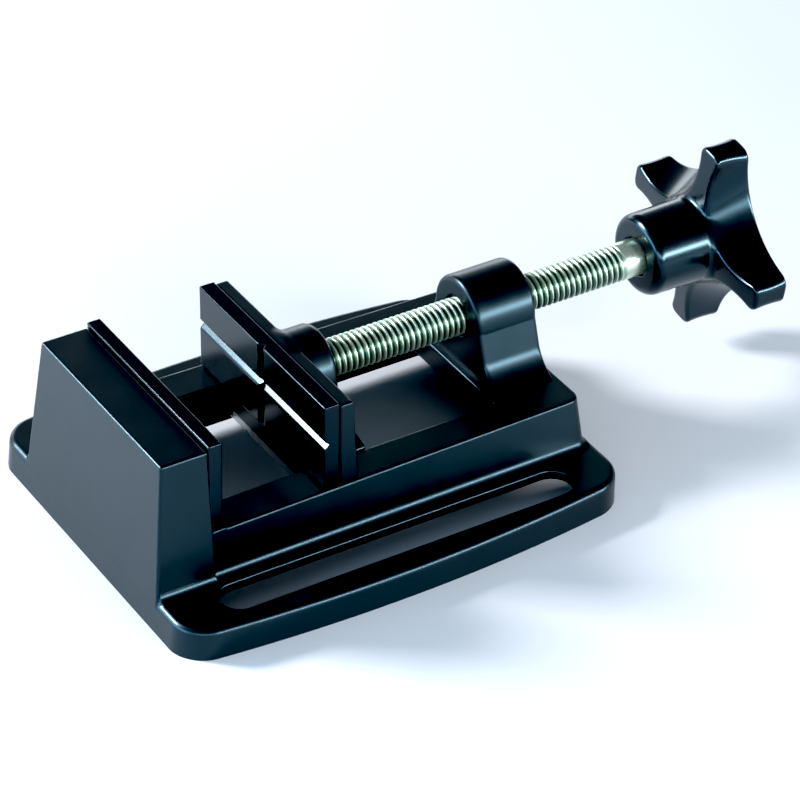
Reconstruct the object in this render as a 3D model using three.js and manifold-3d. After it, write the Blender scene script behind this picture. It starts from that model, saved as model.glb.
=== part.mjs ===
// Machine vise: a cast base with a fixed jaw, a sliding prism jaw and a spindle with a four-lobed grip.
// Millimetres. +X runs along the spindle from the fixed jaw to the grip, +Z is up, and z = 0 is the
// surface the base stands on. x = 0 is the working face of the fixed jaw, y = 0 the middle of the vise.
import * as THREE from 'three';
import { mergeVertices } from 'three/addons/utils/BufferGeometryUtils.js';
import Module from 'manifold-3d';

// ---- driving dimensions ------------------------------------------------------------------------
const JAW_W = 75;            // jaw width
const OPEN = 33.8;           // opening between the jaws as stored
const JAW_TOP = 55.7;        // top of both jaw plates
const RAIL_TOP = 26.5;       // top of the two guide rails
const RAIL_UNDER = 18.0;     // underside of the rails
const WIN_HALF = 25.4;       // half width of the gap between the rails
const WIN_X0 = 1.0;          // ends of the gap between the rails
const WIN_X1 = 100.6;
const BODY_HALF0 = 38.9;     // half width of the body at the rail tops, beside the fixed jaw
const BODY_HALF1 = 36.15;    // and at its other end
const BODY_FOOT = 39.3;      // half width of the body where it meets the flange
const BODY_X1 = 125.0;       // end face of the body at the rail tops
const CAV_HALF = 33.0;       // hollow under the rails
const CAV_X0 = -13.0;
const CAV_X1 = 118.5;
const FLANGE_T = 10.2;       // flange height at its rim
const FLANGE_SKIN = 3.6;     // wall thickness of the flange inside the rim
const RIM = 6.0;             // width of the standing rim
const FLANGE_HALF = 64.7;    // greatest half width of the flange
const FLANGE_X0 = -25.7;
const FLANGE_X1 = 128.2;
const SLOT_Y = 49.8;         // middle line of the fastening slots
const SLOT_HALF = 6.2;
const SLOT_X0 = -8.0;
const SLOT_X1 = 112.4;
const FJ_TOP = 54.0;         // top of the cast fixed jaw, behind its plate
const FJ_BACK = -19.9;       // back edge of the fixed jaw at its top
const FJ_HALF = 37.1;
const FJ_FOOT_HALF = 42.2;
const PLATE_T = 4.5;         // fixed jaw plate
const MPLATE_T = 5.2;        // moving jaw plate, with the V grooves
const PLATE_Z0 = 27.0;
const VEE = 1.6;             // depth and half width of the right-angled V grooves
const SP_Z = 43.2;           // spindle height
const SP_R = 6.0;            // thread outer radius
const PITCH = 2.0;           // thread pitch, right-handed
const BOSS_R = 12.9;
const BOSS_X0 = 102.4;
const BOSS_X1 = 123.4;
const BOSS_LIP = 2.8;        // wall of the boss in front of the spindle nut
const HOUSE_R = 12.5;        // spindle housing on the moving jaw
const HOUSE_X1 = 54.0;
const HUB_X0 = 168.2;        // front of the grip's hub
const HUB_R = 13.3;
const STAR_X0 = 189.6;       // lobes of the grip
const STAR_CONE = [188.5, 14, 0.105]; // their jaw-side face is a flat cone: x at radius, slope
const STAR_X1 = 202.4;
const STAR_R = 34.3;
const TIP_R = 3.0;           // corner radius of the lobe tips
const SCALLOP0 = [34.8, 20.8]; // scallops between the lobes: centre distance and radius at STAR_X0
const SCALLOP1 = [50.2, 30.2]; // and at STAR_X1
const STAR_TURN = 9.5 * Math.PI / 180;
const GAP = 0.3;

const wasm = await Module();
wasm.setup();

// ---- helpers -----------------------------------------------------------------------------------
function solid(geometry) {
  const g = geometry.clone();
  g.deleteAttribute('normal');
  g.deleteAttribute('uv');
  const m = mergeVertices(g, 1e-5);
  const index = m.getIndex();
  return new wasm.Manifold(new wasm.Mesh({
    numProp: 3,
    vertProperties: new Float32Array(m.getAttribute('position').array),
    triVerts: new Uint32Array(index.array),
  }));
}
// A block whose top and bottom rectangles may differ: drafted walls.
function block(x0, x1, y0, y1, z0, z1, top = {}) {
  const t = { x0, x1, y0, y1, ...top };
  const g = new THREE.BoxGeometry(1, 1, 1);
  const p = g.getAttribute('position');
  for (let i = 0; i < p.count; i++) {
    const hi = p.getZ(i) > 0;
    const r = hi ? t : { x0, x1, y0, y1 };
    p.setXYZ(i, p.getX(i) > 0 ? r.x1 : r.x0, p.getY(i) > 0 ? r.y1 : r.y0, hi ? z1 : z0);
  }
  return solid(g);
}
// Outline in XY, extruded in Z.
function prismZ(pts, z0, z1, bevel = 0, steps = 3) {
  const s = new THREE.Shape(pts.map(([a, b]) => new THREE.Vector2(a, b)));
  const g = new THREE.ExtrudeGeometry(s, bevel
    ? { depth: z1 - z0 - 2 * bevel, bevelEnabled: true, bevelThickness: bevel, bevelSize: bevel, bevelOffset: -bevel, bevelSegments: steps, curveSegments: 1 }
    : { depth: z1 - z0, bevelEnabled: false, curveSegments: 1 });
  g.translate(0, 0, z0 + bevel);
  return solid(g);
}
// Outline in YZ, extruded in X.
function prismX(pts, x0, x1, bevel = 0, steps = 2) {
  const s = new THREE.Shape(pts.map(([a, b]) => new THREE.Vector2(a, b)));
  const g = new THREE.ExtrudeGeometry(s, bevel
    ? { depth: x1 - x0 - 2 * bevel, bevelEnabled: true, bevelThickness: bevel, bevelSize: bevel, bevelOffset: -bevel, bevelSegments: steps, curveSegments: 1 }
    : { depth: x1 - x0, bevelEnabled: false, curveSegments: 1 });
  g.applyMatrix4(new THREE.Matrix4().set(0, 0, 1, x0 + bevel, 1, 0, 0, 0, 0, 1, 0, 0, 0, 0, 0, 1));
  return solid(g);
}
// Outline in XZ, extruded in Y.
function prismY(pts, y0, y1) {
  const s = new THREE.Shape(pts.map(([a, b]) => new THREE.Vector2(a, -b)));
  const g = new THREE.ExtrudeGeometry(s, { depth: y1 - y0, bevelEnabled: false, curveSegments: 1 });
  g.applyMatrix4(new THREE.Matrix4().set(1, 0, 0, 0, 0, 0, 1, y0, 0, -1, 0, 0, 0, 0, 0, 1));
  return solid(g);
}
// Closed profile [along, radius], turned about an axis through `at`.
function turned(profile, axis, at, seg = 40) {
  const pts = profile.map(([a, r]) => new THREE.Vector2(r, a));
  const g = new THREE.LatheGeometry(pts, seg);
  if (axis === 'x') g.rotateZ(-Math.PI / 2);
  if (axis === 'z') g.rotateX(Math.PI / 2);
  g.translate(...at);
  return solid(g);
}
// Open-ended lists of [along, radius] that start and end on the axis, or rings closed on themselves.
const ring = (a0, a1, r0, r1) => [[a0, r0], [a0, r1], [a1, r1], [a1, r0], [a0, r0]];
const rod = (a0, a1, r) => [[a0, 0], [a0, r], [a1, r], [a1, 0]];
const cylX = (x0, x1, r, y = 0, z = SP_Z, seg = 40) => turned(rod(x0, x1, r), 'x', [0, y, z], seg);
const cylZ = (z0, z1, r, x, y, seg = 28) => turned(rod(z0, z1, r), 'z', [x, y, 0], seg);
function radial(a0, a1, r, x, angle, seg = 24) {
  const g = new THREE.LatheGeometry(rod(a0, a1, r).map(([a, q]) => new THREE.Vector2(q, a)), seg);
  g.rotateX(angle);
  g.translate(x, 0, SP_Z);
  return solid(g);
}
function arc(cx, cy, r, a0, a1, n) {
  const out = [];
  for (let i = 0; i <= n; i++) {
    const a = a0 + (a1 - a0) * i / n;
    out.push([cx + r * Math.cos(a), cy + r * Math.sin(a)]);
  }
  return out;
}
// Sections of equally many points [x, y, z], joined by walls and closed with flat ends. `flat` gives
// the two coordinates in which a section's outline is read.
function loft(sections, flat) {
  const n = sections[0].length;
  const pos = sections.flat(2);
  const index = [];
  const outline = (s) => s.map((p) => new THREE.Vector2(p[flat[0]], p[flat[1]]));
  const ccw = THREE.ShapeUtils.area(outline(sections[0])) > 0;
  const tri = (a, b, c) => (ccw ? index.push(a, b, c) : index.push(a, c, b));
  for (let k = 0; k + 1 < sections.length; k++) {
    for (let i = 0; i < n; i++) {
      const a = k * n + i, b = k * n + (i + 1) % n;
      tri(a, b, b + n);
      tri(a, b + n, a + n);
    }
  }
  for (const [k, up] of [[0, false], [sections.length - 1, true]]) {
    const o = outline(sections[k]);
    const q = ccw ? o : o.slice().reverse();
    const at = (i) => k * n + (ccw ? i : n - 1 - i);
    for (const [a, b, c] of THREE.ShapeUtils.triangulateShape(q, [])) {
      if (up) index.push(at(a), at(b), at(c)); else index.push(at(a), at(c), at(b));
    }
  }
  const g = new THREE.BufferGeometry();
  g.setAttribute('position', new THREE.Float32BufferAttribute(pos, 3));
  g.setIndex(index);
  return solid(g);
}
// The finished group is moved so that the origin is the bottom centre of the whole vise.
const X_MID = (FLANGE_X0 + STAR_X1) / 2;
const root = new THREE.Group();
root.name = 'machine_vise';
root.position.set(-X_MID, 0, 0);
function place(name, manifold, color, roughness, metalness) {
  const m = manifold.getMesh();
  const g = new THREE.BufferGeometry();
  g.setAttribute('position', new THREE.Float32BufferAttribute(m.vertProperties, 3));
  g.setIndex(new THREE.Uint32BufferAttribute(m.triVerts, 1));
  g.computeVertexNormals();
  const mesh = new THREE.Mesh(g, new THREE.MeshStandardMaterial({ color, roughness, metalness }));
  mesh.name = name;
  root.add(mesh);
  return mesh;
}

// ---- base casting ------------------------------------------------------------------------------
// Flange outline: long sides bowed slightly outward, rounded corners, drawn in by `inset`.
function flangeOutline(inset = 0) {
  const mid = 45, R = 560;
  const side = (x) => FLANGE_HALF - inset - (R - Math.sqrt(R * R - (x - mid) ** 2));
  const ra = 10 - inset * 0.6, rb = 11 - inset * 0.6;
  const x0 = FLANGE_X0 + inset, x1 = FLANGE_X1 - inset;
  const ya = side(x0 + ra) - ra, yb = side(x1 - rb) - rb;
  const near = [];
  near.push(...arc(x0 + ra, -ya, ra, Math.PI, 1.5 * Math.PI - 0.1, 7));
  for (let i = 0; i <= 14; i++) {
    const x = x0 + ra + 2 + (x1 - rb - 2 - x0 - ra - 2) * i / 14;
    near.push([x, -side(x)]);
  }
  near.push(...arc(x1 - rb, -yb, rb, 1.5 * Math.PI + 0.1, 2 * Math.PI, 7));
  return [...near, ...near.slice().reverse().map(([x, y]) => [x, -y])];
}
let base = prismZ(flangeOutline(), -2.0, FLANGE_T, 2.0, 3).subtract(block(-60, 160, -80, 80, -10, 0));
// Half width of the body: its sides stand nearly upright beside the fixed jaw and lean in toward the
// far end, from one straight line along the flange.
function bodyHalf(x, z) {
  const top = BODY_HALF0 + (BODY_HALF1 - BODY_HALF0) * (x - 3) / 122;
  return top + (BODY_FOOT - top) / (RAIL_TOP - FLANGE_T) * (RAIL_TOP - z);
}
// Body with the two rails: rounded end corners and slightly broken upper edges.
{
  const section = (z, inset) => {
    const xe = BODY_X1 + 1.5 * (1 - z / RAIL_TOP) - inset, r = 4.0 - inset, x0 = -20;
    const he = bodyHalf(xe - r, z) - inset;
    const near = [[x0, -bodyHalf(x0, z) + inset]];
    for (let i = 1; i < 6; i++) {
      const x = x0 + (xe - r - x0) * i / 6;
      near.push([x, -bodyHalf(x, z) + inset]);
    }
    near.push(...arc(xe - r, -he + r, r, -Math.PI / 2, 0, 6));
    return [...near, ...near.slice().reverse().map(([x, y]) => [x, -y])].map(([x, y]) => [x, y, z]);
  };
  base = base.add(loft([section(1, 0), section(FLANGE_T, 0), section(RAIL_TOP - 0.7, 0), section(RAIL_TOP - 0.2, 0.2), section(RAIL_TOP, 0.7)], [0, 1]));
}
// Fillet between body and flange.
for (const s of [-1, 1]) {
  const c = [[s * (BODY_FOOT - 2), FLANGE_T - 1], [s * (BODY_FOOT + 3.0), FLANGE_T - 1], [s * (BODY_FOOT + 3.0), FLANGE_T - 0.05],
    ...arc(s * (BODY_FOOT + 3.0), FLANGE_T + 3.2, 3.2, -Math.PI / 2, s > 0 ? -Math.PI : 0, 4).slice(1), [s * (BODY_FOOT - 2), FLANGE_T + 3.2]];
  if (s < 0) c.reverse();
  base = base.add(prismX(c, -18, BODY_X1 - 3));
}
// Fixed jaw: outer end face and sides slope outward on the way down.
base = base.add(block(FLANGE_X0, -PLATE_T - GAP, -FJ_FOOT_HALF, FJ_FOOT_HALF, 0, FJ_TOP,
  { x0: FJ_BACK, y0: -FJ_HALF, y1: FJ_HALF }));
// The shoulder that carries the fixed jaw plate and runs into the rails.
base = base.add(block(-PLATE_T - 2, 4.5, -BODY_FOOT - 0.3, BODY_FOOT + 0.3, 0, PLATE_Z0 - GAP,
  { x1: 0.4, y0: -BODY_HALF0, y1: BODY_HALF0 }));
// The whole end lies in one plane, from the top of the jaw down to the table.
base = base.subtract(block(-80, FLANGE_X0 - 2 * (FJ_BACK - FLANGE_X0) / FJ_TOP, -80, 80, -2, 2 * FJ_TOP,
  { x1: FLANGE_X0 + 2 * (FJ_BACK - FLANGE_X0) }));
// Threaded boss: round top, sides flaring out onto the body.
{
  const half = [];
  half.push(...arc(0, SP_Z, BOSS_R, Math.PI / 2, 0, 12));
  half.push([13.4, 41], [14.6, 37], [15.8, 33.8]);
  half.push(...arc(24.6, 34.4, 8.4, Math.PI * 1.04, Math.PI * 1.5, 6).slice(1));
  half.push([26, RAIL_TOP - 2]);
  const pts = [...half, ...half.slice().reverse().map(([y, z]) => [-y, z])].filter((p, i, a) => i === 0 || Math.hypot(p[0] - a[i - 1][0], p[1] - a[i - 1][1]) > 1e-4);
  if (Math.hypot(pts[0][0] - pts[pts.length - 1][0], pts[0][1] - pts[pts.length - 1][1]) < 1e-4) pts.pop();
  pts.reverse();
  base = base.add(prismX(pts, BOSS_X0, BOSS_X1));
}
// Gap between the rails, the wider hollow under them, and the hollow under the whole casting that
// leaves a standing rim.
base = base.subtract(block(WIN_X0, WIN_X1, -WIN_HALF, WIN_HALF, RAIL_UNDER - 1, 60));
base = base.subtract(block(CAV_X0, CAV_X1, -CAV_HALF, CAV_HALF, -5, RAIL_UNDER));
base = base.subtract(prismZ(flangeOutline(RIM), -5, FLANGE_T - FLANGE_SKIN));
// Fastening slots.
for (const s of [-1, 1]) {
  const r = SLOT_HALF;
  base = base.subtract(prismZ([
    ...arc(SLOT_X0 + r, s * SLOT_Y, r, Math.PI / 2, 1.5 * Math.PI, 10),
    ...arc(SLOT_X1 - r, s * SLOT_Y, r, -Math.PI / 2, Math.PI / 2, 10)], -5, 30));
}
// Boss bore for the spindle nut, closed in front but for the spindle's own hole, with its set screw hole on the far side.
const NUT_R = 9.0;
base = base.subtract(turned([[BOSS_X0 - 1, 0], [BOSS_X0 - 1, SP_R + 0.3], [BOSS_X0 + BOSS_LIP, SP_R + 0.3], [BOSS_X0 + BOSS_LIP, NUT_R + 0.2], [BOSS_X1 - 0.8, NUT_R + 0.2], [BOSS_X1 + 0.2, NUT_R + 1.2], [BOSS_X1 + 1, NUT_R + 1.2], [BOSS_X1 + 1, 0]], 'x', [0, 0, SP_Z], 48));
base = base.subtract(radial(5, 20, 2.6, 113, 0));
// Screw holes of the fixed jaw plate.
const FSCREW = [['far', 24], ['near', -24]];
for (const [, y] of FSCREW) base = base.subtract(cylX(-15, -4, 2.6, y, 41, 28));
place('base_casting', base, 0x0b0c0f, 0.25, 0.1);

// ---- fixed jaw plate and its screws ------------------------------------------------------------
{
  let p = block(-PLATE_T, 0, -JAW_W / 2 + 0.2, JAW_W / 2 - 0.2, PLATE_Z0, JAW_TOP);
  for (const [, y] of FSCREW) {
    p = p.subtract(turned([[-6, 0], [-6, 2.8], [-2.9, 2.8], [-0.3, 5.3], [1, 5.3], [1, 0]], 'x', [0, y, 41], 36));
  }
  place('fixed_jaw_plate', p, 0x101115, 0.25, 0.1);
  for (const [side, y] of FSCREW) {
    let s = turned([[-14, 0], [-14, 2.3], [-13.5, 2.5], [-2.9, 2.5], [-0.6, 4.9], [-0.3, 4.9], [-0.3, 0]], 'x', [0, y, 41], 36);
    s = s.subtract(prismX(arc(y, 41, 1.7, 0, Math.PI * 5 / 3, 5), -2.6, 1));
    place(`fixed_plate_screw_${side}`, s, 0x1a1b1e, 0.35, 0.9);
  }
}

// ---- moving jaw --------------------------------------------------------------------------------
const MX = OPEN;                                // working face
const BX = MX + MPLATE_T + GAP;                 // front of the jaw body
const MH = JAW_W / 2;
const MSCREW = [['far', 27], ['near', -27]];
const KSCREW = [['far', 14], ['near', -14]];
const TONGUE_X0 = 36.2, TONGUE_X1 = 55.4, TONGUE_Z0 = RAIL_UNDER - 0.3;
const KX = 46.5;                                // keeper screws
const PINX = 48.0, PINY = 5.0, PINR = 1.5;
{
  let j = block(BX, 45.6, -MH, MH, RAIL_TOP + GAP, JAW_TOP - 1.0, { x1: 43.7 });
  // Guide tongue in the gap between the rails.
  j = j.add(block(TONGUE_X0, TONGUE_X1, -WIN_HALF + GAP, WIN_HALF - GAP, TONGUE_Z0, RAIL_TOP - 0.2));
  // Foot of the jaw: flat in the middle, its two ends falling to the rail tops.
  const fy = WIN_HALF - GAP;
  j = j.add(prismX([[-fy, RAIL_TOP - 2], [fy, RAIL_TOP - 2], [fy, 26.9], [16, 29.9], [-16, 29.9], [-fy, 26.9]], BX, TONGUE_X1));
  // Spindle housing with its web.
  const w = [];
  w.push(...arc(0, SP_Z, HOUSE_R, Math.PI, 0, 24));
  w.push([13.4, 28], [-13.4, 28]);
  w.reverse();
  j = j.add(prismX(w, 42, HOUSE_X1, 1.6, 2));
  j = j.subtract(cylX(41.6, HOUSE_X1 + 2, 4.1));
  for (const s of [-1, 1]) j = j.subtract(cylZ(10, 52.8, PINR + 0.1, PINX, s * PINY));
  for (const [, y] of MSCREW) j = j.subtract(cylX(BX - 1, 48, 2.15, y, 34.5, 24));
  for (const [, y] of KSCREW) j = j.subtract(cylZ(10, 25.2, 3.1, KX, y));
  place('moving_jaw_body', j, 0x0b0c0f, 0.25, 0.1);
}
{
  let p = block(MX, MX + MPLATE_T, -MH, MH, PLATE_Z0, JAW_TOP);
  const gz = 42.2;
  p = p.subtract(prismY([[MX - 0.5, gz - VEE - 0.5], [MX + VEE, gz], [MX - 0.5, gz + VEE + 0.5]].reverse(), -60, 60));
  p = p.subtract(prismZ([[MX - 0.5, -VEE - 0.5], [MX + VEE, 0], [MX - 0.5, VEE + 0.5]], 20, 70));
  for (const [, y] of MSCREW) p = p.subtract(cylX(36.3, 41, 2.15, y, 34.5, 24));
  place('moving_jaw_plate', p, 0x101115, 0.25, 0.1);
  for (const [side, y] of MSCREW) {
    let s = turned([[36.6, 0], [36.6, 1.8], [36.9, 2.0], [45.6, 2.0], [45.6, 3.6], [46.0, 3.9], [47.9, 3.9], [48.6, 3.3], [48.6, 0]], 'x', [0, y, 34.5], 32);
    s = s.subtract(prismX(arc(y, 34.5, 1.6, 0, Math.PI * 5 / 3, 5), 46.7, 50));
    place(`moving_plate_screw_${side}`, s, 0x1a1b1e, 0.35, 0.9);
  }
}
// Keeper plate under the rails, held up by two screws with spring washers.
{
  let k = block(37.4, 55.0, -31.6, 31.6, 13.4, TONGUE_Z0 - 0.2);
  for (const [, y] of KSCREW) k = k.subtract(cylZ(5, 30, 3.3, KX, y));
  place('keeper_plate', k, 0x8d9093, 0.4, 0.9);
  for (const [side, y] of KSCREW) {
    let s = turned([[7.2, 0], [7.2, 4.7], [7.7, 5.2], [11.7, 5.2], [11.7, 3.0], [24.2, 3.0], [24.7, 2.5], [24.7, 0]], 'z', [KX, y, 0], 32);
    s = s.subtract(prismZ(arc(KX, y, 2.9, 0, Math.PI * 5 / 3, 5), 5, 9.9));
    place(`keeper_screw_${side}`, s, 0x9a9da0, 0.35, 0.9);
    let w = turned(ring(11.95, 13.2, 3.2, 5.4), 'z', [KX, y, 0], 32);
    w = w.subtract(block(KX - 0.4, KX + 0.4, y + 2, y + 7, 10, 15));
    place(`keeper_washer_${side}`, w, 0x8a8d90, 0.4, 0.9);
  }
}
for (const [side, s] of [['far', 1], ['near', -1]]) {
  place(`journal_pin_${side}`, turned([[30, 0], [30, 1.2], [30.3, PINR], [52.1, PINR], [52.4, 1.2], [52.4, 0]], 'z', [PINX, s * PINY, 0], 24), 0x2a2b2e, 0.4, 0.9);
}

// ---- spindle and nut ---------------------------------------------------------------------------
{
  let s = turned([
    [42.2, 0], [42.2, 3.5], [42.7, 4.0], [46.2, 4.0], [46.2, 3.2], [49.8, 3.2], [49.8, 4.0],
    [HOUSE_X1 + GAP, 4.0], [HOUSE_X1 + GAP, 5.2], [HOUSE_X1 + 1.1, SP_R], [169.0, SP_R], [169.4, 5.2], [193.5, 5.2], [194.0, 4.7], [194.0, 0]], 'x', [0, 0, SP_Z], 36);
  s = s.subtract(radial(-9, 9, 2.15, 178, 0.884));
  place('spindle', s, 0xb9bdb4, 0.3, 1.0);
}
{
  let n = turned(ring(BOSS_X0 + BOSS_LIP + GAP, BOSS_X1 - 0.9, SP_R + 0.08, NUT_R), 'x', [0, 0, SP_Z], 36);
  n = n.subtract(radial(8.2, 20, 2.6, 113, 0));
  place('spindle_nut', n, 0x3a3c40, 0.4, 0.9);
}
{
  let g = radial(8.5, 12.4, 2.4, 113, 0);
  const hex = new THREE.CylinderGeometry(1.25, 1.25, 3, 6);
  hex.translate(113, 12.2, SP_Z);
  g = g.subtract(solid(hex));
  place('nut_set_screw', g, 0x1a1b1e, 0.4, 0.9);
}

// ---- grip --------------------------------------------------------------------------------------
{
  const hub = turned([[HUB_X0, 0], [HUB_X0, HUB_R - 2.4], [HUB_X0 + 0.5, HUB_R - 1.1], [HUB_X0 + 1.6, HUB_R - 0.25], [HUB_X0 + 3, HUB_R],
    [STAR_X0 + 1.5, HUB_R + 0.4], [STAR_X0 + 1.5, 0]], 'x', [0, 0, SP_Z], 40);
  // One section of the lobes: tip arc, corner, scallop, corner, four times round.
  const section = (x, drawn, cone = false) => {
    const t = (x - STAR_X0) / (STAR_X1 - STAR_X0);
    const d = SCALLOP0[0] + (SCALLOP1[0] - SCALLOP0[0]) * t, r = SCALLOP0[1] + (SCALLOP1[1] - SCALLOP0[1]) * t + drawn;
    const tip = STAR_R - drawn, e = tip - TIP_R;
    const b = Math.PI / 4 - Math.acos((d * d + e * e - (r + TIP_R) ** 2) / (2 * d * e));
    const h = Math.PI / 4;
    const S = [d * Math.cos(h), d * Math.sin(h)], C = [e * Math.cos(b), e * Math.sin(b)];
    const touch = Math.atan2(S[1] - C[1], S[0] - C[0]);
    const one = [[tip, 0], ...arc(C[0], C[1], TIP_R, b, touch, 5)];
    const back = touch + Math.PI - 2 * Math.PI;
    const mid = Math.PI / 4 - Math.PI;
    one.push(...arc(S[0], S[1], r, back, 2 * mid - back, 12).slice(1));
    // the second corner mirrors the first about the diagonal
    one.push(...arc(C[0], C[1], TIP_R, touch, b, 5).slice(1).map(([u, v]) => [v, u]));
    const out = [];
    for (let q = 0; q < 4; q++) {
      const a = STAR_TURN + q * Math.PI / 2;
      for (const [u, v] of one) out.push([cone ? x - STAR_X0 + STAR_CONE[0] + STAR_CONE[2] * (Math.hypot(u, v) - STAR_CONE[1]) : x, u * Math.cos(a) - v * Math.sin(a), SP_Z + u * Math.sin(a) + v * Math.cos(a)]);
    }
    return out;
  };
  const star = loft([section(STAR_X0, 1.2, true), section(STAR_X0 + 0.35, 0.35, true), section(STAR_X0 + 1.2, 0, true),
    section(STAR_X1 - 1.2, 0), section(STAR_X1 - 0.35, 0.35), section(STAR_X1, 1.2)], [1, 2]);
  let knob = hub.add(star);
  knob = knob.subtract(cylX(HUB_X0 - 1, 175, SP_R + 0.3)).subtract(cylX(170.8, 195.4, 8.2));
  knob = knob.subtract(radial(-20, 20, 2.1, 178, 0.884));
  place('knob', knob, 0x08090b, 0.3, 0.0);
  let ins = turned(ring(171.1, 195.1, 5.4, 8.0), 'x', [0, 0, SP_Z], 40);
  ins = ins.subtract(radial(-20, 20, 2.15, 178, 0.884));
  place('knob_insert', ins, 0x8f9396, 0.35, 0.95);
  place('knob_roll_pin', radial(-12.6, 12.6, 1.9, 178, 0.884), 0x6d7074, 0.35, 0.95);
}

export default root;
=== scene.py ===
"""Machine vise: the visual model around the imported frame. Lengths in the builders below are millimetres in the
vise's own frame (x = 0 at the fixed jaw's working face, y = 0 the middle, z = 0 the table); they are moved into
the row frame, in metres, when a mesh is made."""

import math

import bpy
import numpy as np
from mathutils import Matrix, Vector


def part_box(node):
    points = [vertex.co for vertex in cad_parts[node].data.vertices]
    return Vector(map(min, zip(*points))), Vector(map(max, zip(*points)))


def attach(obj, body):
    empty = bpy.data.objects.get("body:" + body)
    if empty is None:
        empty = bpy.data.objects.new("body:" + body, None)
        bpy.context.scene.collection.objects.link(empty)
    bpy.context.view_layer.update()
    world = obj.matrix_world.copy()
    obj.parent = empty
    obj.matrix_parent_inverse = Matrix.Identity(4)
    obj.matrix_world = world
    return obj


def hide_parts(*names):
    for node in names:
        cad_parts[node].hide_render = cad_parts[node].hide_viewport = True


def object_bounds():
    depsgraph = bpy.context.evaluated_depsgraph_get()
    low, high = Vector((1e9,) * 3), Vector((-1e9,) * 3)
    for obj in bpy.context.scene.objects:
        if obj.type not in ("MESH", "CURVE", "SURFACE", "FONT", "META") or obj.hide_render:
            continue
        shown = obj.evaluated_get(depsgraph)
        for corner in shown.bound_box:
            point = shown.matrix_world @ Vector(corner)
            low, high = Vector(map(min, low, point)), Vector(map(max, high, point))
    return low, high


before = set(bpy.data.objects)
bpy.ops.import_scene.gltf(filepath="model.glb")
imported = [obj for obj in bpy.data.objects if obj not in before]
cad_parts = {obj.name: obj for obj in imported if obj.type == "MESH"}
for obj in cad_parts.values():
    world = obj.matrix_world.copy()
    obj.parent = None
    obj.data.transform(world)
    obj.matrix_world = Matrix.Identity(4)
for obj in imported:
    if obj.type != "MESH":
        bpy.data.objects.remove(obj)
CAD_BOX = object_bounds()

# The vise's own frame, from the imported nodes.
X_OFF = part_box("fixed_jaw_plate")[1].x * 1000.0        # working face of the fixed jaw
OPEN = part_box("moving_jaw_plate")[0].x * 1000.0 - X_OFF
JAW_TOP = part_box("fixed_jaw_plate")[1].z * 1000.0
SP_Z = (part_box("spindle")[0].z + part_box("spindle")[1].z) * 500.0
STAR_X1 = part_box("knob")[1].x * 1000.0 - X_OFF
PITCH = 2.0


# ---- distance fields ---------------------------------------------------------------------------
def imax(a, b, r):
    """Intersection with a rounded edge."""
    return np.minimum(np.maximum(a, b), -r) + np.hypot(np.maximum(a + r, 0.0), np.maximum(b + r, 0.0))


def umin(a, b, r):
    """Union with a fillet."""
    return np.maximum(np.minimum(a, b), r) - np.hypot(np.maximum(r - a, 0.0), np.maximum(r - b, 0.0))


def cut(a, b, r):
    """a without b, with a rounded edge."""
    return imax(a, -b, r)


def slab(v, lo, hi):
    return np.maximum(lo - v, v - hi)


def rbox(x, y, z, lo, hi, r):
    c = [(lo[i] + hi[i]) / 2 for i in range(3)]
    q = [np.abs(v - c[i]) - (hi[i] - lo[i]) / 2 + r for i, v in enumerate((x, y, z))]
    out = np.sqrt(np.maximum(q[0], 0) ** 2 + np.maximum(q[1], 0) ** 2 + np.maximum(q[2], 0) ** 2)
    return out + np.minimum(np.maximum(q[0], np.maximum(q[1], q[2])), 0.0) - r


def cyl(u, v, r):
    return np.hypot(u, v) - r


def hexagon(u, v, r):
    """Across-flats radius r."""
    u, v = np.abs(u), np.abs(v)
    return np.maximum(u, 0.5 * u + 0.8660254 * v) - r


# ---- dual contouring ---------------------------------------------------------------------------
def gradient(f, p, e=2e-3):
    k = np.array([[1, -1, -1], [-1, -1, 1], [-1, 1, -1], [1, 1, 1]], float)
    g = np.zeros_like(p)
    for row in k:
        q = p + row * e
        g += row * f(q[:, 0], q[:, 1], q[:, 2])[:, None]
    n = np.linalg.norm(g, axis=1, keepdims=True)
    return g / np.maximum(n, 1e-12)


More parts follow.
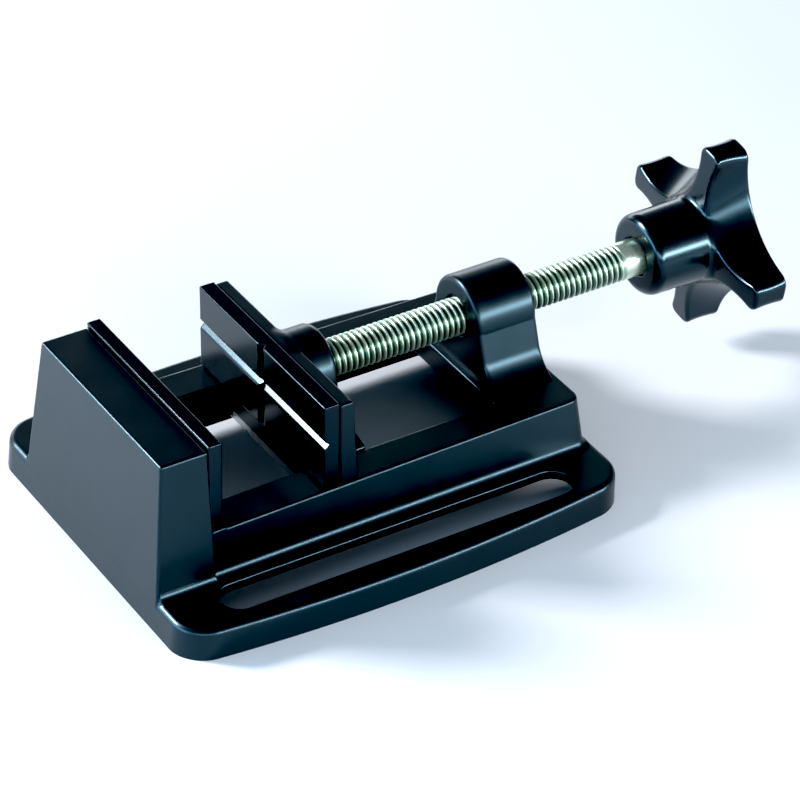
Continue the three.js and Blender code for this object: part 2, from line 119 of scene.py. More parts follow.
def contour(f, lo, hi, h, blk=8):
    """Quads of the surface f = 0, with sharp edges kept."""
    lo = np.array(lo, float) - 1.37 * h
    n = np.ceil((np.array(hi, float) + 1.4 * h - lo) / h).astype(int)
    n = ((n + blk - 1) // blk) * blk
    nb = n // blk
    cs = [lo[i] + h * blk * (np.arange(nb[i]) + 0.5) for i in range(3)]
    X, Y, Z = np.meshgrid(*cs, indexing="ij")
    C = f(X, Y, Z)
    V = np.empty(n + 1, np.float32)
    R = np.repeat(np.repeat(np.repeat(np.sign(C).astype(np.float32) * 9, blk, 0), blk, 1), blk, 2)
    V[:-1, :-1, :-1] = R
    V[-1], V[:, -1], V[:, :, -1] = 9, 9, 9
    near = np.argwhere(np.abs(C) < h * blk * 0.5 * 3 ** 0.5 * 1.12 + 0.1)
    o = np.arange(blk + 1)
    step = max(1, 400000 // (blk + 1) ** 3)
    for s in range(0, len(near), step):
        b = near[s:s + step] * blk
        ix = b[:, 0, None, None, None] + o[None, :, None, None]
        iy = b[:, 1, None, None, None] + o[None, None, :, None]
        iz = b[:, 2, None, None, None] + o[None, None, None, :]
        ix, iy, iz = np.broadcast_arrays(ix, iy, iz)
        V[ix, iy, iz] = f(lo[0] + h * ix, lo[1] + h * iy, lo[2] + h * iz)
    S = V < 0
    corners = {0: [(0, -1, -1), (0, 0, -1), (0, 0, 0), (0, -1, 0)],
               1: [(-1, 0, -1), (-1, 0, 0), (0, 0, 0), (0, 0, -1)],
               2: [(-1, -1, 0), (0, -1, 0), (0, 0, 0), (-1, 0, 0)]}
    cells, pts, flips = [], [], []
    dims = np.array(n)
    for a in range(3):
        s0 = [slice(None)] * 3
        s1 = [slice(None)] * 3
        s0[a], s1[a] = slice(0, -1), slice(1, None)
        e = np.argwhere(S[tuple(s0)] != S[tuple(s1)])
        d = np.zeros(3, int)
        d[a] = 1
        e1 = e + d
        fa = V[e[:, 0], e[:, 1], e[:, 2]].astype(float)
        fb = V[e1[:, 0], e1[:, 1], e1[:, 2]].astype(float)
        flips.append(fa > 0)
        ta, tb = np.zeros(len(e)), np.ones(len(e))
        base = lo + h * e
        for _ in range(4):
            t = ta - fa * (tb - ta) / np.where(np.abs(fb - fa) < 1e-12, 1e-12, fb - fa)
            t = np.clip(t, ta + 0.03 * (tb - ta), tb - 0.03 * (tb - ta))
            q = base.copy()
            q[:, a] += t * h
            ft = f(q[:, 0], q[:, 1], q[:, 2])
            same = (ft < 0) == (fa < 0)
            ta, fa = np.where(same, t, ta), np.where(same, ft, fa)
            tb, fb = np.where(same, tb, t), np.where(same, fb, ft)
        t = ta - fa * (tb - ta) / np.where(np.abs(fb - fa) < 1e-12, 1e-12, fb - fa)
        q = base.copy()
        q[:, a] += np.clip(t, 0, 1) * h
        pts.append(q)
        cells.append(np.stack([((e[:, 0] + c[0]) * dims[1] + e[:, 1] + c[1]) * dims[2] + e[:, 2] + c[2] for c in corners[a]], 1))
    pts = np.concatenate(pts)
    cells = np.concatenate(cells)
    flips = np.concatenate(flips)
    nor = gradient(f, pts)
    ids, inv = np.unique(cells.ravel(), return_inverse=True)
    inv = inv.reshape(cells.shape)
    N = len(ids)
    flat = inv.ravel()
    P = np.repeat(pts, 4, 0)
    G = np.repeat(nor, 4, 0)
    cnt = np.bincount(flat, minlength=N).astype(float)
    M = np.stack([np.bincount(flat, P[:, i], N) for i in range(3)], 1) / cnt[:, None]
    D = ((P - M[flat]) * G).sum(1)
    A = np.empty((N, 3, 3))
    B = np.empty((N, 3))
    for i in range(3):
        B[:, i] = np.bincount(flat, G[:, i] * D, N)
        for j in range(i, 3):
            A[:, i, j] = A[:, j, i] = np.bincount(flat, G[:, i] * G[:, j], N)
    mean = np.stack([np.bincount(flat, G[:, i], N) for i in range(3)], 1) / cnt[:, None]
    spread = np.linalg.norm(mean, axis=1)
    w, U = np.linalg.eigh(A)
    keep = w > 0.08 * w[:, 2:3]
    c = np.einsum("nji,nj->ni", U, B)
    c = np.where(keep, c / np.where(keep, w, 1.0), 0.0)
    v = M + np.einsum("nij,nj->ni", U, c)
    k = np.stack([ids // (dims[1] * dims[2]), ids // dims[2] % dims[1], ids % dims[2]], 1)
    c0 = lo + h * k
    v = np.clip(v, c0 - 0.02 * h, c0 + 1.02 * h)
    soft = spread > 0.87
    for _ in range(2):
        q = v[soft]
        g = gradient(f, q)
        q = q - g * f(q[:, 0], q[:, 1], q[:, 2])[:, None]
        v[soft] = np.clip(q, c0[soft] - 0.02 * h, c0[soft] + 1.02 * h)
    faces = np.where(flips[:, None], inv[:, ::-1], inv)
    return v, faces


def to_mesh(name, v, faces):
    me = bpy.data.meshes.new(name)
    me.from_pydata((np.asarray(v) + [X_OFF, 0, 0]) / 1000.0, [], faces.tolist() if hasattr(faces, "tolist") else faces)
    me.validate()
    ob = bpy.data.objects.new(name, me)
    bpy.context.scene.collection.objects.link(ob)
    return ob


def thin(ob, ratio):
    m = ob.modifiers.new("thin", "DECIMATE")
    m.ratio = ratio
    m.use_collapse_triangulate = False
    dg = bpy.context.evaluated_depsgraph_get()
    me = bpy.data.meshes.new_from_object(ob.evaluated_get(dg), depsgraph=dg)
    ob.modifiers.remove(m)
    old = ob.data
    ob.data = me
    me.name = ob.name
    bpy.data.meshes.remove(old)


def field_normals(ob, f, crease=28.0):
    """Shading normals straight from the field, split where the surface has a real edge."""
    me = ob.data
    nv, nl, npoly = len(me.vertices), len(me.loops), len(me.polygons)
    co = np.empty(nv * 3)
    me.vertices.foreach_get("co", co)
    co = co.reshape(-1, 3) * 1000.0 - [X_OFF, 0, 0]
    lv = np.empty(nl, int)
    me.loops.foreach_get("vertex_index", lv)
    tot = np.empty(npoly, int)
    me.polygons.foreach_get("loop_total", tot)
    cen = np.empty(npoly * 3)
    me.polygons.foreach_get("center", cen)
    cen = cen.reshape(-1, 3) * 1000.0 - [X_OFF, 0, 0]
    lf = np.repeat(np.arange(npoly), tot)
    p = co[lv]
    d = cen[lf] - p
    L = np.linalg.norm(d, axis=1, keepdims=True)
    q = p + d * np.minimum(0.3, 0.12 / np.maximum(L, 1e-9))
    gl = gradient(f, q)
    mean = np.stack([np.bincount(lv, gl[:, i], nv) for i in range(3)], 1)
    mean /= np.maximum(np.linalg.norm(mean, axis=1, keepdims=True), 1e-9)
    ok = np.ones(nv, bool)
    bad = (gl * mean[lv]).sum(1) < math.cos(math.radians(crease))
    ok[lv[bad]] = False
    gv = gradient(f, co)
    out = np.where(ok[lv][:, None], gv[lv], gl)
    me.polygons.foreach_set("use_smooth", np.ones(npoly, bool))
    me.normals_split_custom_set(out.astype(float).tolist())
    me.update()


def keep_inside(ob):
    """No vertex passes the outer box of the solids."""
    me = ob.data
    co = np.empty(len(me.vertices) * 3)
    me.vertices.foreach_get("co", co)
    lo, hi = np.array(CAD_BOX[0]) + [2e-6, 2e-6, 0.0], np.array(CAD_BOX[1]) - 2e-6
    me.vertices.foreach_set("co", np.clip(co.reshape(-1, 3), lo, hi).ravel())
    me.update()


def sdf_piece(name, f, lo, hi, h, faces=None, body=None, nodes=(), mat=None, crease=28.0):
    hh = h * 1.0
    v, q = contour(f, lo, hi, hh)
    ob = to_mesh(name, v, q)
    if faces and len(q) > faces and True:
        thin(ob, faces / len(q))
    keep_inside(ob)
    field_normals(ob, f, crease)
    return finish_piece(ob, body, nodes, mat)


def finish_piece(ob, body, nodes, mat):
    ob.data.materials.clear()
    ob.data.materials.append(mat)
    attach(ob, body)
    if nodes:
        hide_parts(*nodes)
    return ob


# ---- materials ---------------------------------------------------------------------------------
def new_mat(name):
    m = bpy.data.materials.new(name)
    m.use_nodes = True
    nt = m.node_tree
    for n in list(nt.nodes):
        nt.nodes.remove(n)
    out = nt.nodes.new("ShaderNodeOutputMaterial")
    p = nt.nodes.new("ShaderNodeBsdfPrincipled")
    nt.links.new(p.outputs[0], out.inputs[0])
    return m, nt, p


def coords(nt, scale=(1, 1, 1)):
    t = nt.nodes.new("ShaderNodeTexCoord")
    m = nt.nodes.new("ShaderNodeMapping")
    m.inputs["Scale"].default_value = scale
    nt.links.new(t.outputs["Object"], m.inputs["Vector"])
    return m.outputs[0]


def noise(nt, vec, scale, detail=3.0, rough=0.55):
    n = nt.nodes.new("ShaderNodeTexNoise")
    n.inputs["Scale"].default_value = scale
    n.inputs["Detail"].default_value = detail
    n.inputs["Roughness"].default_value = rough
    nt.links.new(vec, n.inputs["Vector"])
    return n.outputs["Fac"]


def ramp(nt, fac, stops):
    r = nt.nodes.new("ShaderNodeValToRGB")
    el = r.color_ramp.elements
    while len(el) > 1:
        el.remove(el[-1])
    el[0].position = stops[0][0]
    el[0].color = (*stops[0][1], 1)
    for pos, col in stops[1:]:
        e = el.new(pos)
        e.color = (*col, 1)
    nt.links.new(fac, r.inputs[0])
    return r.outputs[0]


def to_range(nt, fac, a, b, lo=0.3, hi=0.7):
    m = nt.nodes.new("ShaderNodeMapRange")
    m.inputs["From Min"].default_value = lo
    m.inputs["From Max"].default_value = hi
    m.inputs["To Min"].default_value = a
    m.inputs["To Max"].default_value = b
    nt.links.new(fac, m.inputs["Value"])
    return m.outputs[0]


def add(nt, a, b, wa=1.0, wb=1.0):
    m = nt.nodes.new("ShaderNodeMath")
    m.operation = "MULTIPLY_ADD"
    m.inputs[1].default_value = wa
    nt.links.new(a, m.inputs[0])
    k = nt.nodes.new("ShaderNodeMath")
    k.operation = "MULTIPLY"
    k.inputs[1].default_value = wb
    nt.links.new(b, k.inputs[0])
    nt.links.new(k.outputs[0], m.inputs[2])
    return m.outputs[0]


def bump(nt, p, height, dist, strength=1.0):
    b = nt.nodes.new("ShaderNodeBump")
    b.inputs["Strength"].default_value = strength
    b.inputs["Distance"].default_value = dist
    nt.links.new(height, b.inputs["Height"])
    nt.links.new(b.outputs[0], p.inputs["Normal"])


def paint(name, dark, light, r0, r1, grain=1.0, spec=0.5, tint=(1, 1, 1)):
    """Black enamel over a casting: orange peel, fine grain of the casting, smudges in the gloss."""
    m, nt, p = new_mat(name)
    v = coords(nt)
    cloud = noise(nt, v, 55.0, 4.0)
    nt.links.new(ramp(nt, cloud, [(0.30, dark), (0.72, light)]), p.inputs["Base Color"])
    smudge = noise(nt, v, 120.0, 5.0, 0.6)
    nt.links.new(to_range(nt, smudge, r0, r1), p.inputs["Roughness"])
    peel = noise(nt, v, 420.0, 2.0)
    fine = noise(nt, v, 1500.0, 3.0)
    bump(nt, p, add(nt, peel, fine, 1.0, 0.45 * grain), 0.00006 * grain, 0.55)
    p.inputs["Specular IOR Level"].default_value = spec
    p.inputs["Specular Tint"].default_value = (*tint, 1)
    return m


def steel(name, dark, light, r0, r1, stretch=(1, 1, 1), scale=900.0, depth=0.00001, tint=None):
    """Turned or ground steel: tool marks stretched along one direction, patchy plating."""
    m, nt, p = new_mat(name)
    v = coords(nt)
    s = coords(nt, stretch)
    patch = noise(nt, v, 160.0, 4.0)
    stops = [(0.30, dark), (0.70, light)] if tint is None else [(0.28, dark), (0.50, tint), (0.70, light)]
    nt.links.new(ramp(nt, patch, stops), p.inputs["Base Color"])
    marks = noise(nt, s, scale, 3.0)
    nt.links.new(to_range(nt, marks, r0, r1), p.inputs["Roughness"])
    bump(nt, p, marks, depth, 0.5)
    p.inputs["Metallic"].default_value = 1.0
    return m


def zinc(name):
    """Plated thread: patchy plating tone, with painted shade darkening the grooves to a dark green while the crests
    stay bright.
    """
    m, nt, p = new_mat(name)
    v = coords(nt)
    sep = nt.nodes.new("ShaderNodeSeparateXYZ")
    nt.links.new(v, sep.inputs[0])
    up = nt.nodes.new("ShaderNodeMath")
    up.operation = "SUBTRACT"
    up.inputs[1].default_value = SP_Z / 1000.0
    nt.links.new(sep.outputs[2], up.inputs[0])
    com = nt.nodes.new("ShaderNodeCombineXYZ")
    nt.links.new(sep.outputs[1], com.inputs[1])
    nt.links.new(up.outputs[0], com.inputs[2])
    ln = nt.nodes.new("ShaderNodeVectorMath")
    ln.operation = "LENGTH"
    nt.links.new(com.outputs[0], ln.inputs[0])
    # painted shade: the base colour runs from dark green in the thread roots up to the plated tone at the crests
    groove_shade_mask = to_range(nt, ln.outputs["Value"], 0.0, 1.0, 0.00490, 0.00590)
    groove_shade_colour = ramp(nt, groove_shade_mask, [(0.0, (0.045, 0.085, 0.075)), (0.35, (0.12, 0.18, 0.15)), (0.75, (0.36, 0.48, 0.43)), (1.0, (0.54, 0.63, 0.58))])
    patch = ramp(nt, noise(nt, v, 260.0, 4.0), [(0.30, (0.72, 0.86, 0.80)), (0.50, (1.0, 1.0, 0.90)), (0.70, (1.0, 1.0, 1.0))])
    mul = nt.nodes.new("ShaderNodeMix")
    mul.data_type = "RGBA"
    mul.blend_type = "MULTIPLY"
    mul.inputs["Factor"].default_value = 1.0
    nt.links.new(groove_shade_colour, mul.inputs["A"] if "A" in mul.inputs else mul.inputs[6])
    nt.links.new(patch, mul.inputs["B"] if "B" in mul.inputs else mul.inputs[7])
    nt.links.new(mul.outputs[2], p.inputs["Base Color"])
    nt.links.new(to_range(nt, noise(nt, v, 900.0, 2.0), 0.26, 0.38), p.inputs["Roughness"])
    p.inputs["Metallic"].default_value = 0.9
    return m


BLUE = (0.46, 0.80, 1.0)
M_CAST = paint("cast_black_enamel", (0.0004, 0.0007, 0.0012), (0.0008, 0.0013, 0.0020), 0.29, 0.34, 0.22, 0.52, BLUE)
M_JAW = paint("jaw_black_enamel", (0.0004, 0.0007, 0.0012), (0.0008, 0.0012, 0.0018), 0.17, 0.22, 0.12, 0.42, BLUE)
M_GRIP = paint("grip_black", (0.0004, 0.0007, 0.0012), (0.0008, 0.0012, 0.0018), 0.19, 0.23, 0.12, 0.56, BLUE)
M_ZINC = zinc("zinc_plate")
M_BRIGHT = steel("bright_steel", (0.52, 0.55, 0.56), (0.68, 0.71, 0.72), 0.22, 0.36, (1.0, 0.2, 0.2), 1800.0, 0.000006)
M_DARK = steel("dark_steel", (0.035, 0.038, 0.042), (0.075, 0.080, 0.086), 0.30, 0.46, (1.0, 0.3, 0.3), 1400.0, 0.00001)


# ---- base casting ------------------------------------------------------------------------------
def f_base(x, y, z):
    ay = np.abs(y)
    # the whole jaw end lies in one sloping plane
    end = (-25.7 + 0.1074 * z - x) * 0.9943
    # flange, its long sides bowed on a large radius
    side = np.hypot(x - 45.0, ay + 495.3) - 560.0
    o = imax(side, end, 10.0)
    o = imax(o, x - 128.2, 11.0)
    d = imax(o, z - 10.2, 2.0)
    # body with the rails: its sides lean in more and more toward the grip
    top = 38.9 - 0.0225 * (x - 3.0)
    lean = (39.3 - top) / 16.3
    bs = (ay - top - lean * (26.5 - z)) * 0.998
    b = imax(bs, (x - 125.0 - 1.5 * (1 - z / 26.5)) * 0.9984, 4.0)
    b = imax(b, z - 26.5, 0.8)
    b = np.maximum(b, -20.0 - x)
    # fixed jaw
    j = imax(end, (ay - 42.2 + 0.0944 * z) * 0.9956, 0.85)
    j = imax(j, z - 54.0, 0.7)
    j = imax(j, x + 4.8, 0.4)
    sh = imax(bs, (x - 0.4 - 0.15 * (26.7 - z)) * 0.989, 0.8)
    sh = np.maximum(imax(sh, z - 26.7, 0.4), -6.5 - x)
    up = np.minimum(np.minimum(j, sh), b)
    d = umin(d, up, np.clip(-2.0 * end, 0.04, 2.6))
    # spindle boss
    t = SP_Z - z
    cap = np.where(t < 0, np.hypot(y, t) - 12.9, (ay - 12.9 - 0.31 * t) * 0.955)
    prof = umin(cap, z - 26.2, 8.4)
    prof = np.maximum(prof, ay - 25.6)
    boss = imax(prof, np.abs(x - 112.9) - 10.5, 1.6)
    d = np.minimum(d, boss)
    # hollow under the rails, and the hollow that leaves a standing rim
    hol = rbox(x, y, z, (-13.0, -33.0, -30.0), (118.5, 33.0, 18.0), 2.0)
    low = imax(side + 6.0, -19.7 - x, 6.4)
    low = imax(low, x - 122.2, 7.4)
    low = imax(low, z - 6.6, 1.4)
    d = cut(d, np.minimum(hol, low), 0.5)
    win = rbox(x, y, z, (1.0, -25.4, 8.0), (100.6, 25.4, 60.0), 1.6)
    win = np.maximum(win, 9.0 - z)
    d = cut(d, win, 0.7)
    # fastening slots
    s = np.hypot(np.maximum(np.abs(x - 52.2) - 54.0, 0.0), ay - 49.8) - 6.2
    d = cut(d, s, 0.8)
    # spindle nut bore, set screw hole, screw holes of the jaw plate
    q = np.hypot(y, z - SP_Z)
    d = cut(d, np.maximum(q - 9.2, 105.2 - x), 0.6)
    d = cut(d, np.maximum(q - 6.35, 90.0 - x), 0.5)
    d = cut(d, np.maximum(np.hypot(x - 113.0, z - SP_Z) - 2.6, 4.0 - y), 0.4)
    d = cut(d, np.maximum(np.hypot(ay - 24.0, z - 41.0) - 2.6, slab(x, -15.0, 5.0)), 0.2)
    return np.maximum(d, -z)


# ---- moving jaw --------------------------------------------------------------------------------
BX = OPEN + 5.5


def f_jaw_body(x, y, z):
    ay = np.abs(y)
    up = imax(BX - x, (x - 45.6 + 0.0681 * (z - 26.8)) * 0.9977, 0.6)
    up = imax(up, ay - 37.5, 0.6)
    up = imax(up, slab(z, 26.8, 54.7), 0.6)
    foot = imax(z - 29.9, (z - 26.9 - 0.33 * (25.1 - ay)) * 0.95, 3.0)
    foot = imax(imax(slab(x, BX, 55.4), ay - 25.1, 0.9), foot, 0.7)
    foot = np.maximum(foot, 23.0 - z)
    tongue = rbox(x, y, z, (36.2, -25.1, 17.7), (55.4, 25.1, 26.3), 0.6)
    t = SP_Z - z
    prof = np.where(t < 0, np.hypot(y, t) - 12.5, (ay - 12.5 - 0.06 * t) * 0.998)
    prof = np.maximum(prof, 27.0 - z)
    hs = imax(prof, slab(x, 40.5, 54.0), 2.4)
    d = umin(up, foot, 1.2)
    d = np.minimum(d, tongue)
    d = umin(d, hs, 1.6)
    d = cut(d, np.maximum(np.hypot(y, z - SP_Z) - 4.1, 41.6 - x), 0.5)
    d = cut(d, np.maximum(np.hypot(x - 48.0, ay - 5.0) - 1.6, z - 52.8), 0.3)
    d = cut(d, np.maximum(np.hypot(ay - 27.0, z - 34.5) - 2.15, slab(x, 30.0, 60.0)), 0.3)
    d = cut(d, np.maximum(np.hypot(x - 46.5, ay - 14.0) - 3.1, slab(z, 0.0, 25.2)), 0.3)
    return d


def f_moving_plate(x, y, z):
    d = rbox(x, y, z, (OPEN, -37.5, 27.0), (OPEN + 5.2, 37.5, JAW_TOP), 0.5)
    gx = x - OPEN
    v1 = (np.abs(z - 42.2) - (1.6 - gx)) * 0.7071
    v2 = (np.abs(y) - (1.6 - gx)) * 0.7071
    d = cut(d, v1, 0.35)
    d = cut(d, v2, 0.35)
    return cut(d, np.maximum(np.hypot(np.abs(y) - 27.0, z - 34.5) - 2.15, 36.3 - x), 0.2)


def f_fixed_plate(x, y, z):
    d = rbox(x, y, z, (-4.5, -37.3, 27.0), (0.0, 37.3, JAW_TOP), 0.5)
    q = np.hypot(np.abs(y) - 24.0, z - 41.0)
    c = np.minimum(q - 2.8, np.maximum((q - 5.3 - (x + 0.3) * 0.962) * 0.72, -2.9 - x))
    return cut(d, c, 0.15)


# ---- grip --------------------------------------------------------------------------------------
def f_knob(x, y, z):
    w = z - SP_Z
    q = np.hypot(y, w)
    hub = imax((q - 13.3 - 0.02 * (x - 171.0)) * 0.9998, 168.2 - x, 3.0)
    hub = np.maximum(hub, x - 196.0)
    c, s = math.cos(math.radians(9.5)), math.sin(math.radians(9.5))
    u, v = np.abs(y * c + w * s), np.abs(-y * s + w * c)
    # conical scallops between the lobes
    t = np.clip((x - 189.6) / 12.8, -0.2, 1.2)
    k = (34.8 + 15.4 * t) * math.sqrt(0.5)
    scal = (20.8 + 9.4 * t - np.hypot(u - k, v - k)) * 0.88
    star = imax(q - 34.3, scal, 3.0)
    star = imax(star, np.maximum((188.5 + 0.105 * (q - 14.0) - x) * 0.9945, x - STAR_X1), 1.2)
    d = umin(hub, star, 1.8)
    d = cut(d, np.maximum(q - 6.3, x - 172.0), 0.4)
    d = cut(d, np.maximum(q - 8.2, slab(x, 170.8, 195.4)), 0.05)
    a = 0.884
    along = np.abs(y * math.cos(a) + w * math.sin(a))
    off = np.hypot(x - 178.0, -y * math.sin(a) + w * math.cos(a))
    return cut(d, np.maximum(off - 2.1, -along - 50), 0.35)


def f_roll_pin(x, y, z):
    a = 0.884
    w = z - SP_Z
    along = np.abs(y * math.cos(a) + w * math.sin(a))
    off = np.hypot(x - 178.0, -y * math.sin(a) + w * math.cos(a))
    d = imax(off - 1.9, along - 12.6, 0.4)
    return cut(d, off - 1.05, 0.15)


# ---- small steel parts -------------------------------------------------------------------------
def f_nut(x, y, z):
    q = np.hypot(y, z - SP_Z)
    d = imax(q - 9.0, slab(x, 105.5, 122.5), 0.5)
    d = cut(d, q - 6.08, 0.8)
    return cut(d, np.maximum(np.hypot(x - 113.0, z - SP_Z) - 2.6, 8.2 - y), 0.2)


def f_set_screw(x, y, z):
    q = np.hypot(x - 113.0, z - SP_Z)
    d = imax(q - 2.4, slab(y, 8.5, 12.4), 0.4)
    return cut(d, np.maximum(hexagon(x - 113.0, z - SP_Z, 1.15), 10.4 - y), 0.1)


def plate_screw(yc):
    def f(x, y, z):
        q = np.hypot(y - yc, z - 34.5)
        head = imax(q - 3.9, slab(x, 45.6, 48.6), 0.7)
        d = np.minimum(head, imax(q - 2.0, slab(x, 36.6, 47.0), 0.3))
        return cut(d, np.maximum(hexagon(y - yc, z - 34.5, 1.5), 46.7 - x), 0.12)
    return f


def sunk_screw(yc):
    def f(x, y, z):
        q = np.hypot(y - yc, z - 41.0)
        head = np.maximum((q - 4.9 - (x + 0.45) * 1.02) * 0.70, slab(x, -2.9, -0.3))
        head = imax(head, q - 4.9, 0.15)
        d = np.minimum(head, imax(q - 2.45, slab(x, -14.0, -2.0), 0.4))
        return cut(d, np.maximum(hexagon(y - yc, z - 41.0, 1.6), -2.5 - x), 0.12)
    return f


def keeper_screw(yc):
    def f(x, y, z):
        q = np.hypot(x - 46.5, y - yc)
        d = np.minimum(imax(q - 5.2, slab(z, 7.2, 11.7), 0.5), imax(q - 3.0, slab(z, 9.0, 24.7), 0.4))
        return cut(d, np.maximum(hexagon(x - 46.5, y - yc, 2.5), z - 9.9), 0.15)
    return f


def f_keeper(x, y, z):
    d = rbox(x, y, z, (37.4, -31.6, 13.4), (55.0, 31.6, 17.5), 0.5)
    return cut(d, np.hypot(x - 46.5, np.abs(y) - 14.0) - 3.3, 0.3)


# ---- spindle -----------------------------------------------------------------------------------
def spindle_mesh(name):
    """Right-handed thread as a turned surface whose radius follows the helix, with a plain neck and shank."""
    segs = 48
    per = 16
    th = np.arange(segs) * 2 * math.pi / segs
    x0, x1 = 54.9, 161.5

    def radius(x, a):
        ph = (x - x0 - PITCH * a / (2 * math.pi)) % PITCH / PITCH
        t = np.abs(ph - 0.5) * 2.0                       # 1 at the crest, 0 at the root
        prof = np.clip((t - 0.10) / 0.74, 0.0, 1.0)
        prof = prof * prof * (3 - 2 * prof) * 0.45 + prof * 0.55
        thr = 4.86 + 1.12 * prof
        lead_in = np.clip((x - x0) / 1.4, 0, 1)
        run_out = np.clip((x1 - x) / 2.2, 0, 1)
        r = thr * run_out + 5.98 * (1 - run_out)
        return np.minimum(r, 5.1 + 0.88 * lead_in)

    fixed = [(42.25, 0.0), (42.25, 3.3), (42.45, 3.75), (42.8, 3.98), (46.1, 3.98), (46.25, 3.85), (46.3, 3.2), (49.7, 3.2),
             (49.75, 3.85), (49.9, 3.98), (54.2, 3.98), (54.32, 4.1), (54.32, 4.9), (54.4, 5.05), (54.89, 5.1)]
    rows = [(x, np.full(segs, r)) for x, r in fixed]
    nx = int((x1 - x0) / PITCH * per)
    for i in range(nx + 1):
        x = x0 + (x1 - x0) * i / nx
        rows.append((x, radius(x, th)))
    for x, r in [(162.0, 5.98), (165.0, 5.98), (168.9, 5.98), (169.05, 5.9), (169.4, 5.2), (193.4, 5.2), (193.8, 5.0), (193.99, 4.5), (193.99, 0.0)]:
        rows.append((x, np.full(segs, r)))
    verts, faces = [], []
    verts.append((rows[0][0], 0.0, SP_Z))
    ring = []
    for x, r in rows[1:-1]:
        ring.append(len(verts))
        for k in range(segs):
            verts.append((x, r[k] * math.cos(th[k]), SP_Z + r[k] * math.sin(th[k])))
    last = len(verts)
    verts.append((rows[-1][0], 0.0, SP_Z))
    for k in range(segs):
        n = (k + 1) % segs
        faces.append((0, ring[0] + n, ring[0] + k))
        for a, b in zip(ring[:-1], ring[1:]):
            faces.append((a + k, a + n, b + n, b + k))
        faces.append((last, ring[-1] + k, ring[-1] + n))
    ob = to_mesh(name, np.array(verts), faces)
    me = ob.data
    me.polygons.foreach_set("use_smooth", np.ones(len(me.polygons), bool))
    me.set_sharp_from_angle(angle=math.radians(50))
    return ob


# ---- pieces ------------------------------------------------------------------------------------
sdf_piece("vise_base", f_base, (-25.7, -64.7, 0.0), (128.2, 64.7, 56.2), 0.52, 95000, "base", ["base_casting"], M_CAST)
sdf_piece("fixed_prism_plate", f_fixed_plate, (-4.5, -37.5, 27.0), (0.0, 37.5, JAW_TOP), 0.30, None, "base", ["fixed_jaw_plate"], M_JAW)
sdf_piece("sliding_jaw", f_jaw_body, (36.2, -37.5, 17.7), (55.4, 37.5, 55.8), 0.45, 60000, "moving_jaw", ["moving_jaw_body"], M_CAST)
sdf_piece("vee_plate", f_moving_plate, (OPEN, -37.5, 27.0), (OPEN + 5.2, 37.5, JAW_TOP), 0.30, None, "moving_jaw", ["moving_jaw_plate"], M_JAW)
sdf_piece("star_grip", f_knob, (168.2, -34.4, SP_Z - 34.4), (STAR_X1, 34.4, SP_Z + 34.4), 0.50, 45000, "spindle_and_grip", ["knob"], M_GRIP)
sdf_piece("cross_pin", f_roll_pin, (176.0, -12.6, SP_Z - 12.6), (180.0, 12.6, SP_Z + 12.6), 0.25, 9000, "spindle_and_grip", ["knob_roll_pin"], M_DARK)
finish_piece(spindle_mesh("threaded_spindle"), "spindle_and_grip", ["spindle"], M_ZINC)
sdf_piece("nut_bush", f_nut, (105.5, -9.0, SP_Z - 9.0), (122.5, 9.0, SP_Z + 9.0), 0.35, 12000, "base", ["spindle_nut"], M_DARK)
sdf_piece("set_screw", f_set_screw, (110.5, 8.5, SP_Z - 2.5), (115.5, 12.4, SP_Z + 2.5), 0.15, 7000, "base", ["nut_set_screw"], M_DARK)
for side, s in (("far", 1), ("near", -1)):
    sdf_piece(f"plate_screw_{side}", plate_screw(27.0 * s), (36.6, 27.0 * s - 4.0, 30.5), (48.6, 27.0 * s + 4.0, 38.5), 0.22, 9000,
              "moving_jaw", [f"moving_plate_screw_{side}"], M_DARK)
    sdf_piece(f"sunk_screw_{side}", sunk_screw(24.0 * s), (-14.0, 24.0 * s - 5.0, 36.0), (-0.3, 24.0 * s + 5.0, 46.0), 0.24, 9000,
              "base", [f"fixed_plate_screw_{side}"], M_DARK)
    sdf_piece(f"keeper_bolt_{side}", keeper_screw(14.0 * s), (41.2, 14.0 * s - 5.3, 7.2), (51.8, 14.0 * s + 5.3, 24.7), 0.32, 9000,
              "moving_jaw", [f"keeper_screw_{side}"], M_BRIGHT)
sdf_piece("keeper_bar", f_keeper, (37.4, -31.6, 13.4), (55.0, 31.6, 17.5), 0.45, 12000, "moving_jaw", ["keeper_plate"], M_BRIGHT)

for n, m in (("keeper_washer_far", M_BRIGHT), ("keeper_washer_near", M_BRIGHT), ("knob_insert", M_BRIGHT),
             ("journal_pin_far", M_DARK), ("journal_pin_near", M_DARK)):
    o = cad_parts[n]
    if not o.material_slots:
        o.data.materials.append(m)
    for sl in o.material_slots:
        sl.link = "OBJECT"
        sl.material = m

# ---- floor -------------------------------------------------------------------------------------
fm, nt, p = new_mat("studio_floor")
v = coords(nt)
nt.links.new(ramp(nt, noise(nt, v, 3.0, 2.0), [(0.3, (0.575, 0.61, 0.67)), (0.7, (0.605, 0.64, 0.70))]), p.inputs["Base Color"])
p.inputs["Roughness"].default_value = 0.7
p.inputs["Specular IOR Level"].default_value = 0.2
me = bpy.data.meshes.new("studio_floor")
me.from_pydata([(-6, -6, 0), (6, -6, 0), (6, 6, 0), (-6, 6, 0)], [], [(0, 1, 2, 3)])
floor = bpy.data.objects.new("studio_floor", me)
bpy.context.scene.collection.objects.link(floor)
me.materials.append(fm)


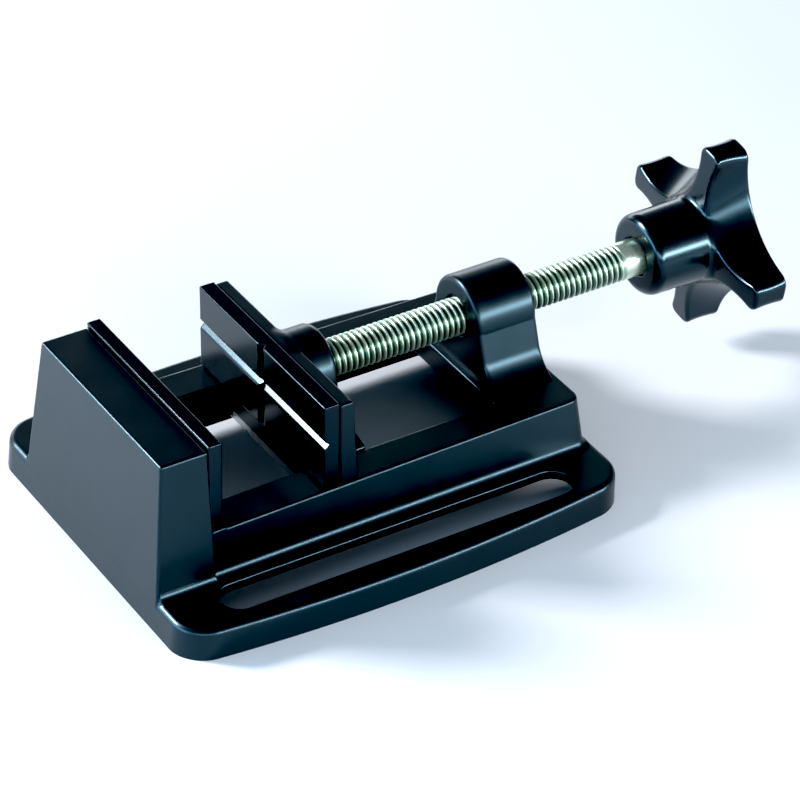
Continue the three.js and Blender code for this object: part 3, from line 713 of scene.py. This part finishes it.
# ---- light -------------------------------------------------------------------------------------
def area(name, direction, dist, size, power, colour):
    d = Vector(direction).normalized()
    target = Vector((0.0, 0.0, 0.025))
    L = bpy.data.lights.new(name, "AREA")
    L.shape = "RECTANGLE"
    L.size, L.size_y = size
    L.energy = power
    L.color = colour
    o = bpy.data.objects.new(name, L)
    bpy.context.scene.collection.objects.link(o)
    o.location = target + d * dist
    o.rotation_mode = "QUATERNION"
    o.rotation_quaternion = d.to_track_quat("Z", "Y")
    return o


area("strip_right", (0.4405, -0.8645, 0.2419), 1.1, (1.3, 0.11), 24.0, (0.97, 0.99, 1.0))
area("key_left", (-0.6601, 0.5738, 0.4848), 1.1, (0.24, 0.24), 24.0, (1.0, 0.98, 0.96))
area("strip_front", (-0.5589, -0.7982, 0.2250), 1.3, (1.5, 0.14), 9.0, (0.88, 0.98, 1.0))
area("soft_left", (-0.9480, 0.2540, 0.1908), 1.3, (1.5, 0.42), 20.0, (0.52, 0.86, 1.16))
area("soft_back", (0.2556, 0.9541, 0.1564), 1.4, (1.6, 0.35), 7.0, (0.95, 0.98, 1.0))
w = bpy.data.worlds.new("studio")
bpy.context.scene.world = w
w.use_nodes = True
w.node_tree.nodes["Background"].inputs[0].default_value = (0.74, 0.90, 1.04, 1)
w.node_tree.nodes["Background"].inputs[1].default_value = 0.27

# ---- camera ------------------------------------------------------------------------------------
AZ, EL, ROLL, DIST, FOCAL = math.radians(-31.76), math.radians(34.96), math.radians(0.72), 1.19984, 3917.73
back = Vector((math.sin(AZ) * math.cos(EL), -math.cos(AZ) * math.cos(EL), math.sin(EL)))
right = Vector((math.cos(AZ), math.sin(AZ), 0.0))
up = back.cross(right)
R = right * math.cos(ROLL) + up * math.sin(ROLL)
U = up * math.cos(ROLL) - right * math.sin(ROLL)
cam = bpy.data.cameras.new("camera")
cam.lens = FOCAL * 36.0 / 800.0
cam.sensor_width = 36.0
cam.clip_start, cam.clip_end = 0.05, 50.0
co = bpy.data.objects.new("camera", cam)
bpy.context.scene.collection.objects.link(co)
loc = Vector(((82.58 + X_OFF) / 1000.0, 0.0, 0.01891)) + back * DIST
co.matrix_world = Matrix(((R.x, U.x, back.x, loc.x), (R.y, U.y, back.y, loc.y), (R.z, U.z, back.z, loc.z), (0, 0, 0, 1)))
bpy.context.scene.camera = co

vs = bpy.context.scene.view_settings
vs.view_transform = "Standard"
vs.look = "None"
vs.use_curve_mapping = True
vs.curve_mapping.black_level = (0.021, 0.021, 0.021)
vs.curve_mapping.update()

bpy.context.view_layer.update()
